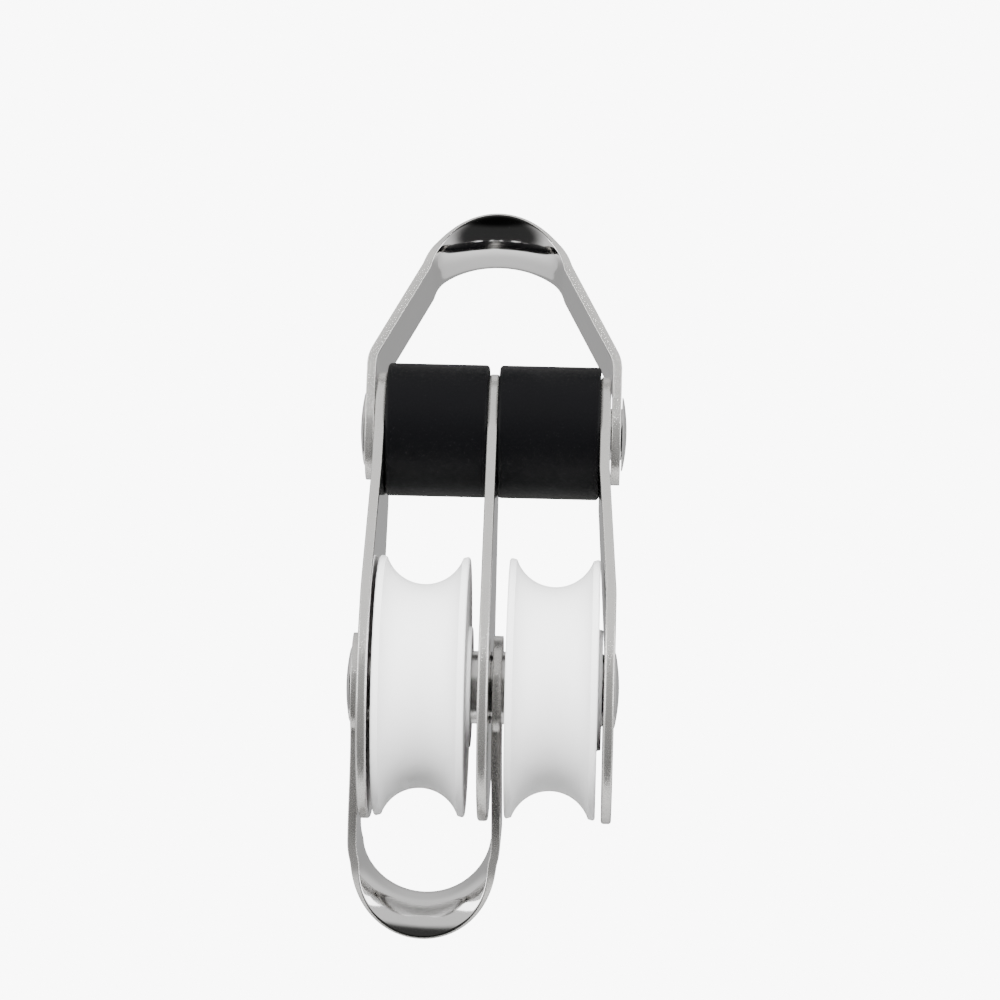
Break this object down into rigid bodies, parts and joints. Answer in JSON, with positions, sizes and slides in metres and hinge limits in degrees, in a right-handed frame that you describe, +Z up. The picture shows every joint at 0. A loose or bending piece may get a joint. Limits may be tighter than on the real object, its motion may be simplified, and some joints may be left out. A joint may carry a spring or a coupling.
{
  "type": "double sheave block",
  "caption": "Double sheave block with a swinging head loop, riveted steel cheeks, grooved plastic sheaves and a becket loop for the dead end of the line.",
  "frame": {"origin": "the point inside the head loop where a shackle or hook bears, the crest of its inner surface", "axes": "+X along both riveted pins, from the becket side to the plain side; +Z up from the sheaves to the head loop; -Y the front"},
  "size_m": [0.0264, 0.028, 0.0705],
  "materials": {
    "polished_steel": "polished",
    "satin_steel": "satin",
    "sheave_plastic": "semi-gloss",
    "spacer_plastic": "matte"
  },
  "bodies": {
    "head": {"head_loop": "polished_steel"},
    "block": {"head_pin": "satin_steel", "spacer_left": "spacer_plastic", "spacer_right": "spacer_plastic", "cheek_left": "polished_steel", "cheek_centre": "polished_steel", "cheek_right": "polished_steel", "bush_left": "satin_steel", "bush_right": "satin_steel", "axle_rivet": "satin_steel"},
    "left_sheave": {"sheave_left": "sheave_plastic"},
    "right_sheave": {"sheave_right": "sheave_plastic"},
    "becket_loop": {"becket": "polished_steel"}
  },
  "joints": [
    {"name": "head_swing", "type": "hinge", "parent": "head", "child": "block", "pos_m": [0, 0, -0.0177], "axis": [1, 0, 0], "range_deg": [-75, 75]},
    {"name": "left_sheave_turn", "type": "hinge", "parent": "block", "child": "left_sheave", "pos_m": [-0.0061, 0, -0.0435], "axis": [1, 0, 0], "continuous": true},
    {"name": "right_sheave_turn", "type": "hinge", "parent": "block", "child": "right_sheave", "pos_m": [0.0066, 0, -0.0435], "axis": [1, 0, 0], "continuous": true},
    {"name": "becket_swing", "type": "hinge", "parent": "block", "child": "becket_loop", "pos_m": [-0.0056, 0, -0.0435], "axis": [1, 0, 0], "range_deg": [-143, 87]}
  ]
}
